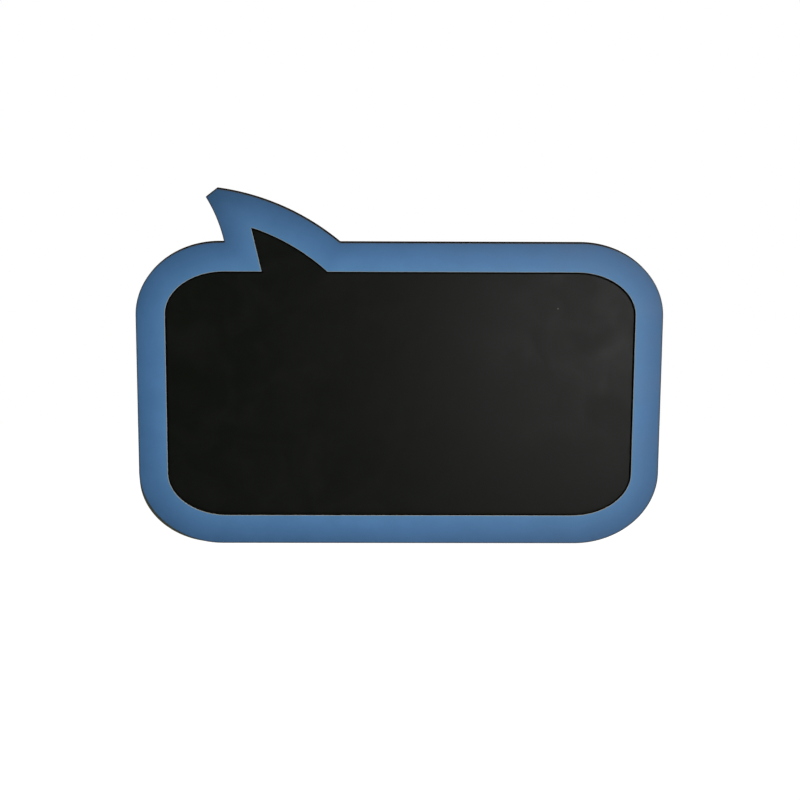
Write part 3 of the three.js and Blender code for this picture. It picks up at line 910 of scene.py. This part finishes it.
# The writing panel, with the countersunk holes of the frame's screws in its back
def coatedPanel(frameOutline, opening):
    low, high = boxOf("writing_panel")
    outline = refined(faceOutlines("writing_panel", low.y)[0])
    ease = panelSettings["ease"]
    # The painted shadow line along the opening, moved down so that it is wider under the frame's top
    drop = Vector((0, panelSettings["shadowLineDrop"]))
    shadowLine, clear = [
        [point - drop for point in movedLeft(opening, -width)]
        for width in (panelSettings["shadowLine"], panelSettings["shadowLine"] + panelSettings["shadowLineFade"])
    ]
    guides = [opening, shadowLine, clear]
    mesh = flatBoard([outline], low.y, high.y, ease, ease, panelSettings["spacing"], guides)
    piece = pieceFrom(mesh, "writing_panel_coated")
    room = holeSettings["room"]
    out = high.y + holeSettings["over"]
    shank = screwSettings["shankRadius"] + room
    head = screwSettings["headRadius"] + room
    for node in screwNodes("frame"):
        through = low.y - holeSettings["over"]
        flare = boxOf(node)[1].y - screwSettings["flatRim"]
        neck = flare - (head - shank)
        profile = [(0, through), (shank, through), (shank, neck), (head, flare), (head, out), (0, out)]
        cutScrewHole(piece, node, profile)
    for node in screwNodes("left") + screwNodes("right"):
        tip = boxOf(node)[0].y - room
        cutScrewHole(piece, node, [(0, tip), (shank, tip), (shank, out), (0, out)])
    points = flatPoints(piece)
    ys = np.array([vert.co.y for vert in piece.data.vertices]) / mm
    outside = ~insideOf(points, [frameOutline])
    past = distancesTo(points, frameOutline) / panelSettings["rubReach"]
    storeValues(piece, "cornerOut", np.where(outside, np.clip(past, 0, 1), 0))
    fromOutside = distancesTo(points, outline)
    storeValues(piece, "fromOutside", fromOutside)
    # Share of the painted shadow line at each vertex
    fade = distancesTo(points, clear) / (distancesTo(points, shadowLine) + distancesTo(points, clear))
    fade = np.where(insideOf(points, [shadowLine]), fade, 1)
    fade = np.where(insideOf(points, [clear]) | (ys > low.y + ease), 0, fade)
    storeValues(piece, "shadowLine", fade)
    flat = outlineSettings["plane"]
    between = (ys > low.y + flat) & (ys < high.y - flat)
    storeValues(piece, "inHole", (fromOutside > panelSettings["edgeZone"]) & between)
    smooth(piece, panelSettings["sharpAngle"])
    piece.modifiers.new("flat faces stay flat", "WEIGHTED_NORMAL").keep_sharp = True
    finishPiece(piece, "writing_panel", chalkboardPaintOnMdf(high.y), "board")
    middles, depths, facing = facesOf(piece)
    walls = (facing < panelSettings["wallFacing"]) & (distancesTo(middles, outline) < ease)
    # Front faces under the painted shadow line take the dead black edge material
    shadowLineFaces = (depths < low.y + flat) & insideOf(middles, [opening]) & ~insideOf(middles, [shadowLine])
    edge = mattMdfEdge("black_soaked_mdf_edge_and_painted_shadow", sawnEdge["soakedEdgeAndShadow"], sawnEdge["soakLeast"])
    coverFaces(piece, edge, walls | shadowLineFaces)


# Screws: a rolled thread, a head and a pressed cross recess
screwSettings = {
    "steps": 36,
    "shankRadius": 1.5,
    "headRadius": 2.75,
    "tipLength": 2,
    "pitch": 1.1,
    "rowsInPitch": 8,
    "threadDepth": 0.38,
    "ridgeShare": 0.8,
    "edge": 0.12,
    "flatRim": 0.3,
    "panRim": 0.6,
    "panHeight": 1.7,
    "domeSteps": 9,
    "recessLength": 3.2,
    "recessWidth": 0.75,
    "recessDepth": 0.9,
    "recessTaper": 0.62,
    "recessFlare": 1.15,
    "recessOver": 0.5,
    "sharpAngle": 38,
}


# Threaded shank from its tip back to its neck, as rows of radius and Y
def shankRows(tipY, neckY):
    screw = screwSettings
    count = round((neckY - tipY) / screw["pitch"] * screw["rowsInPitch"])
    rows = [(0, tipY)]
    for row in range(1, count + 1):
        y = tipY + (neckY - tipY) * row / count
        full = screw["shankRadius"] * min((y - tipY) / screw["tipLength"], 1)
        depth = screw["threadDepth"] * full / screw["shankRadius"]

        def reach(angle, y=y, full=full, depth=depth):
            phase = (y / screw["pitch"] - angle / (2 * math.pi)) % 1
            ridge = 1 - 2 * min(phase, 1 - phase) / screw["ridgeShare"]
            return full - depth * (1 - max(ridge, 0))

        rows.append((reach, y))
    return rows


# Tapered cross that the recess is cut with, a little longer than the head is high
def recessCutter(x, z, topY):
    screw = screwSettings
    mesh = bmesh.new()
    rings = []
    ends = (
        (topY - screw["recessDepth"], screw["recessTaper"]),
        (topY + screw["recessOver"], screw["recessFlare"]),
    )
    for y, size in ends:
        arm = screw["recessLength"] / 2 * size
        side = screw["recessWidth"] / 2 * size
        quarter = [(arm, -side), (arm, side), (side, side)]
        corners = []
        for _ in range(4):
            corners.extend(quarter)
            quarter = [(-b, a) for a, b in quarter]
        rings.append([mesh.verts.new((x + a, y, z + b)) for a, b in corners])
    bottom, top = rings
    count = len(bottom)
    for i in range(count):
        j = (i + 1) % count
        mesh.faces.new((bottom[i], bottom[j], top[j], top[i]))
    mesh.faces.new(bottom[::-1])
    mesh.faces.new(top)
    return pieceFrom(mesh, "recess cutter")


def screwPiece(node, headRows, neckY, material):
    low, high = boxOf(node)
    x, z = (low.x + high.x) / 2, (low.z + high.z) / 2
    profile = shankRows(low.y, neckY) + headRows
    piece = pieceFrom(turned(profile, screwSettings["steps"], x, z), node + "_threaded")
    combine(piece, recessCutter(x, z, high.y), "DIFFERENCE")
    smooth(piece, screwSettings["sharpAngle"])
    finishPiece(piece, node, material, "board")


# Countersunk screws that hold the panel to the frame
def frameScrews(material):
    screw = screwSettings
    for node in screwNodes("frame"):
        top = boxOf(node)[1].y
        neck = top - screw["flatRim"] - (screw["headRadius"] - screw["shankRadius"])
        headRows = [
            (screw["headRadius"], top - screw["flatRim"]),
            (screw["headRadius"], top - screw["edge"]),
            (screw["headRadius"] - screw["edge"], top),
            (0, top),
        ]
        screwPiece(node, headRows, neck, material)


# Hangers: a zinc-plated strip folded round the straight bar of a D-shaped wire ring
hangerSettings = {
    "strip": 0.8,
    "slit": 0.1,
    "loopInnerRadius": 1.3,
    "reverseRadius": 1.2,
    "foldStep": 6,
    "endStep": 6,
    "stripEase": 0.14,
    "cutterOver": 1.0,
    "holeRadius": 1.8,
    "holeStep": 10,
    "wireRadius": 1.0,
    "wireSides": 20,
    "ringInnerWidth": 18,
    "ringInnerHeight": 12,
    "ringCornerRadius": 3,
    "ringCornerStep": 10,
    "ringBowStep": 4,
    "ringEndGap": 0.4,
    "wireEnd": 0.2,
    "sharpAngle": 35,
}


def arc(centreX, centreY, radius, start, end, step):
    count = math.ceil(abs(end - start) / step)
    angles = [math.radians(start + (end - start) * i / count) for i in range(count + 1)]
    return [(centreX + radius * math.cos(a), centreY + radius * math.sin(a)) for a in angles]


# Side view of the folded strip, as height above the panel's back and Z from the ring's bar
def strapProfile(length):
    hanger = hangerSettings
    strip, inner = hanger["strip"], hanger["loopInnerRadius"]
    reverse, step = hanger["reverseRadius"], hanger["foldStep"]
    top = 2 * strip + hanger["slit"]
    loopHeight = strip + inner
    reverseHeight = top - strip / 2 + reverse
    offset = reverseHeight - loopHeight
    reverseZ = -math.sqrt((inner + strip / 2 + reverse) ** 2 - offset ** 2)
    meet = math.degrees(math.atan2(reverseZ, offset))
    return [
        (0, -length),
        *arc(loopHeight, 0, inner + strip, 180, meet, step),
        *arc(reverseHeight, reverseZ, reverse - strip / 2, meet + 180, 180, step)[1:],
        (top, -length),
        (top - strip, -length),
        *arc(reverseHeight, reverseZ, reverse + strip / 2, 180, meet + 180, step),
        *arc(loopHeight, 0, inner, meet, 180, step)[1:],
        (strip, -length),
    ]


# A straight body of an outline given as points, between two levels that it is drawn at
def prism(outline, place, levels):
    mesh = bmesh.new()
    rings = [[mesh.verts.new(place(a, b, level)) for a, b in outline] for level in levels]
    first, last = rings
    for i in range(len(outline)):
        j = (i + 1) % len(outline)
        mesh.faces.new((first[i], first[j], last[j], last[i]))
    mesh.faces.new(first[::-1])
    mesh.faces.new(last)
    return mesh


def foldedStrap(node, hinge, material):
    hanger = hangerSettings
    low, high = boxOf(node)
    backY = low.y
    half = (high.x - low.x) / 2
    length = hinge.z - low.z
    over = hanger["cutterOver"]

    def sideways(height, z, x):
        return (x, backY + height, hinge.z + z)

    def outwards(x, z, height):
        return (hinge.x + x, backY + height, hinge.z + z)

    strap = prism(strapProfile(length), sideways, (hinge.x - half - over, hinge.x + half + over))
    piece = pieceFrom(strap, node + "_folded")
    plan = [(half, half), (-half, half), *arc(0, half - length, half, 180, 360, hanger["endStep"])]
    heights = (-over, high.y - low.y + over)
    combine(piece, pieceFrom(prism(plan, outwards, heights), "plan cutter"), "INTERSECT")
    for place in ("upper", "lower"):
        screwLow, screwHigh = boxOf(node.replace("strap", "screw_" + place))
        drop = (screwLow.z + screwHigh.z) / 2 - hinge.z
        circle = arc(0, drop, hanger["holeRadius"], 0, 360 - hanger["holeStep"], hanger["holeStep"])
        hole = prism(circle, outwards, heights)
        combine(piece, pieceFrom(hole, "hole cutter"), "DIFFERENCE")
    ease = piece.modifiers.new("eased edges", "BEVEL")
    ease.width = hanger["stripEase"] * mm
    ease.segments = 2
    ease.angle_limit = math.radians(hanger["sharpAngle"])
    applyModifiers(piece)
    smooth(piece, hanger["sharpAngle"])
    finishPiece(piece, node, material, "board")


# Centre line of the ring's wire in X and Z, from one side of the gap in its bar round to the other
def ringLine():
    hanger = hangerSettings
    wire, corner = hanger["wireRadius"], hanger["ringCornerRadius"]
    half = hanger["ringInnerWidth"] / 2 + wire
    reach = hanger["ringInnerHeight"] + 2 * wire
    gap = hanger["ringEndGap"] / 2
    bar = [(gap, 0), (gap + hanger["wireEnd"], 0), (half / 2, 0)]
    side = [
        *arc(half - corner, -corner, corner, 90, 0, hanger["ringCornerStep"]),
        (half, half / 2 - reach / 2),
        *arc(0, half - reach, half, 0, -90, hanger["ringBowStep"]),
    ]
    right = bar + side
    return [Vector(point) for point in right + [(-x, z) for x, z in right[-2::-1]]]


def wireRing(node, hinge, body, material):
    hanger = hangerSettings
    low, high = boxOf(node)
    line = ringLine()
    reach = hanger["ringInnerHeight"] + 2 * hanger["wireRadius"]
    swing = math.asin((hinge.z - low.z - hanger["wireRadius"]) / reach)
    rest = Matrix.Translation(hinge) @ Matrix.Rotation(math.pi / 2 - swing, 4, "X")
    mesh = bmesh.new()
    rings = []
    for i, point in enumerate(line):
        way = (line[min(i + 1, len(line) - 1)] - line[max(i - 1, 0)]).normalized()
        atEnd = i in (0, len(line) - 1)
        radius = hanger["wireRadius"] - (hanger["wireEnd"] if atEnd else 0)
        ring = []
        for side in range(hanger["wireSides"]):
            angle = 2 * math.pi * side / hanger["wireSides"]
            across = radius * math.cos(angle)
            place = (point.x - way.y * across, radius * math.sin(angle), point.y + way.x * across)
            ring.append(mesh.verts.new(rest @ Vector(place)))
        rings.append(ring)
    for start, end in zip(rings, rings[1:]):
        for i in range(len(start)):
            j = (i + 1) % len(start)
            mesh.faces.new((start[i], start[j], end[j], end[i]))
    mesh.faces.new(rings[0][::-1])
    mesh.faces.new(rings[-1])
    piece = pieceFrom(mesh, node + "_wire")
    smooth(piece, hanger["sharpAngle"])
    finishPiece(piece, node, material, body)


# Pan-head screws that hold a strap to the panel
def panScrews(side, material):
    screw = screwSettings
    for place in ("upper", "lower"):
        node = side + "_hanger_screw_" + place
        top = boxOf(node)[1].y
        seat = top - screw["panHeight"]
        dome = []
        for step in range(screw["domeSteps"] + 1):
            angle = math.pi / 2 * step / screw["domeSteps"]
            rise = (screw["panHeight"] - screw["panRim"]) * math.sin(angle)
            radius = screw["headRadius"] * math.cos(angle) if step < screw["domeSteps"] else 0
            dome.append((radius, seat + screw["panRim"] + rise))
        headRows = [
            (screw["headRadius"] - screw["edge"], seat),
            (screw["headRadius"], seat + screw["edge"]),
            *dome,
        ]
        screwPiece(node, headRows, seat, material)


def hangers(material):
    for joint in frame["joints"]:
        side = joint["name"].split("_")[0]
        hinge = Vector(joint["pos_m"]) / mm
        foldedStrap(side + "_hanger_strap", hinge, material)
        wireRing(side + "_hanger_ring", hinge, joint["child"], material)
        panScrews(side, material)


# Bumpers: turned rubber pads with a round edge, a shallow dish and a gate mark in its middle
bumperSettings = {
    "steps": 64,
    "edgeRadius": 1.0,
    "edgeStep": 9,
    "taper": 0.8,
    "dishRadius": 3.4,
    "dishDepth": 0.3,
    "dishShares": ((1, 0), (0.85, 0.65), (0.6, 1)),     # shares of its radius and of its depth
    "gateFoot": 0.65,
    "gateRadius": 0.5,
    "gateHeight": 0.12,
    "sharpAngle": 45,
}


def bumpers(material):
    bumper = bumperSettings
    for node in sorted(name for name in frame["nodes"] if name.startswith("bumper")):
        low, high = boxOf(node)
        x, z = (low.x + high.x) / 2, (low.z + high.z) / 2
        base = (high.x - low.x) / 2
        top = base - bumper["taper"]
        corner = bumper["edgeRadius"]
        edge = arc(top - corner, high.y - corner, corner, 0, 90, bumper["edgeStep"])
        dishRadius, dishDepth = bumper["dishRadius"], bumper["dishDepth"]
        dish = high.y - dishDepth
        profile = [
            (0, low.y),
            (base, low.y),
            *edge,
            *((dishRadius * a, high.y - dishDepth * b) for a, b in bumper["dishShares"]),
            (bumper["gateFoot"], dish),
            (bumper["gateRadius"], dish + bumper["gateHeight"]),
            (0, dish + bumper["gateHeight"]),
        ]
        piece = pieceFrom(turned(profile, bumper["steps"], x, z), node + "_moulded")
        smooth(piece, bumper["sharpAngle"])
        finishPiece(piece, node, material, "board")


# Studio: a pale floor, a white sweep and four softboxes. White is the share of the light at which a
# white card facing the lamp renders white.
floorSettings = {
    "drop": 1400,
    "size": 12000,
    "colour": "#e9e9e7",
    "seenColour": "#808080",
    "seenGlow": {"To Min": 0.93, "To Max": 1.0},
    "seenSpan": (2000, 4500),
    "sweep": (-0.4, 0.8),
}

lamps = {
    "key": {"right": 24, "up": 28, "away": 3200, "width": 480, "height": 480, "white": 0.68},
    "sheen": {"right": 12.5, "up": -8, "away": 2400, "width": 420, "height": 420, "white": 0.10},
    "left fill": {"right": -48, "up": 18, "away": 2400, "width": 900, "height": 900, "white": 0.10},
    "back": {"right": 150, "up": 38, "away": 2200, "width": 1100, "height": 1100, "white": 0.75},
}

worldSettings = {
    "ambient": 0.16,
    "frontGlow": 0.03,
    "sweep": (-0.5, 0.1),
}


# How far the background shows its white to a ray: wholly to the camera, and to gloss and glass only
# towards the back, because the room in front of the board is dim
def whiteShare(tree, depth, start, end):
    camera = addNode(tree, "ShaderNodeLightPath", give="Is Camera Ray")
    rays = camera.node.outputs
    mirrored = addNode(tree, "ShaderNodeMath", {
        0: rays["Is Glossy Ray"], 1: rays["Is Transmission Ray"],
    }, operation="MAXIMUM")
    sweep = addNode(tree, "ShaderNodeMapRange", {
        "Value": depth, "From Min": start, "From Max": end,
    }, interpolation_type="SMOOTHSTEP")
    mirrored = addNode(tree, "ShaderNodeMath", {0: mirrored, 1: sweep}, operation="MULTIPLY")
    return addNode(tree, "ShaderNodeMath", {0: camera, 1: mirrored}, operation="MAXIMUM")


def makeFloor():
    half = floorSettings["size"] / 2
    corners = [(-half, -half), (half, -half), (half, half), (-half, half)]
    mesh = bmesh.new()
    mesh.faces.new([mesh.verts.new((x, y, -floorSettings["drop"])) for x, y in corners])
    floor = pieceFrom(mesh, "floor")
    material, tree, coords = startMaterial("matt_painted_floor")
    matt = addNode(tree, "ShaderNodeBsdfDiffuse", {"Color": hexToLinear(floorSettings["colour"])})
    shade = addNode(tree, "ShaderNodeBsdfDiffuse", {"Color": hexToLinear(floorSettings["seenColour"])})
    away = addNode(tree, "ShaderNodeVectorMath", {0: coords}, give="Value", operation="LENGTH")
    seenFrom, seenTo = floorSettings["seenSpan"]
    strength = addNode(tree, "ShaderNodeMapRange", {
        "Value": away, "From Min": seenFrom * mm, "From Max": seenTo * mm, **floorSettings["seenGlow"],
    })
    glow = addNode(tree, "ShaderNodeEmission", {"Strength": strength})
    white = addNode(tree, "ShaderNodeAddShader", {0: shade, 1: glow})
    depth = addNode(tree, "ShaderNodeSeparateXYZ", {"Vector": coords}, give="Y")
    share = whiteShare(tree, depth, *floorSettings["sweep"])
    mixed = addNode(tree, "ShaderNodeMixShader", {0: share, 1: matt, 2: white})
    addNode(tree, "ShaderNodeOutputMaterial", {"Surface": mixed})
    floor.data.materials.append(material)


def makeLamps():
    for name, lamp in lamps.items():
        right, up = math.radians(lamp["right"]), math.radians(lamp["up"])
        away = Vector((math.sin(right) * math.cos(up), -math.cos(right) * math.cos(up), math.sin(up)))
        data = bpy.data.lights.new(name, "AREA")
        data.shape = "RECTANGLE"
        data.size = lamp["width"] * mm
        data.size_y = lamp["height"] * mm
        data.energy = lamp["white"] * (math.pi * lamp["away"] * mm) ** 2
        softbox = bpy.data.objects.new(name, data)
        softbox.location = away * lamp["away"] * mm
        softbox.rotation_euler = away.to_track_quat("Z", "Y").to_euler()
        softbox.visible_camera = False
        bpy.context.scene.collection.objects.link(softbox)


def makeWorld():
    world = bpy.data.worlds.new("studio")
    world.use_nodes = True
    tree = world.node_tree
    tree.nodes.clear()
    light = worldSettings
    direction = addNode(tree, "ShaderNodeTexCoord", give="Generated")
    depth = addNode(tree, "ShaderNodeSeparateXYZ", {"Vector": direction}, give="Y")
    share = whiteShare(tree, depth, *light["sweep"])
    glossy = addNode(tree, "ShaderNodeLightPath", give="Is Glossy Ray")
    dim = addNode(tree, "ShaderNodeMapRange", {
        "Value": glossy, "To Min": light["ambient"], "To Max": light["frontGlow"],
    })
    strength = addNode(tree, "ShaderNodeMix", {"Factor": share, "A": dim, "B": 1.0})
    white = addNode(tree, "ShaderNodeBackground", {"Strength": strength})
    white.node.inputs["Color"].default_value = (1, 1, 1, 1)
    addNode(tree, "ShaderNodeOutputWorld", {"Surface": white})
    bpy.context.scene.world = world


print("camera and studio")
makeCamera()
makeFloor()
makeLamps()
makeWorld()
bpy.context.scene.view_settings.view_transform = "Standard"

print("frame and panel")
coatedPanel(*paintedFrame())

print("screws, hangers and bumpers")
zinc = brightZincPlate()
frameScrews(zinc)
hangers(zinc)
bumpers(blackEpdmRubber())
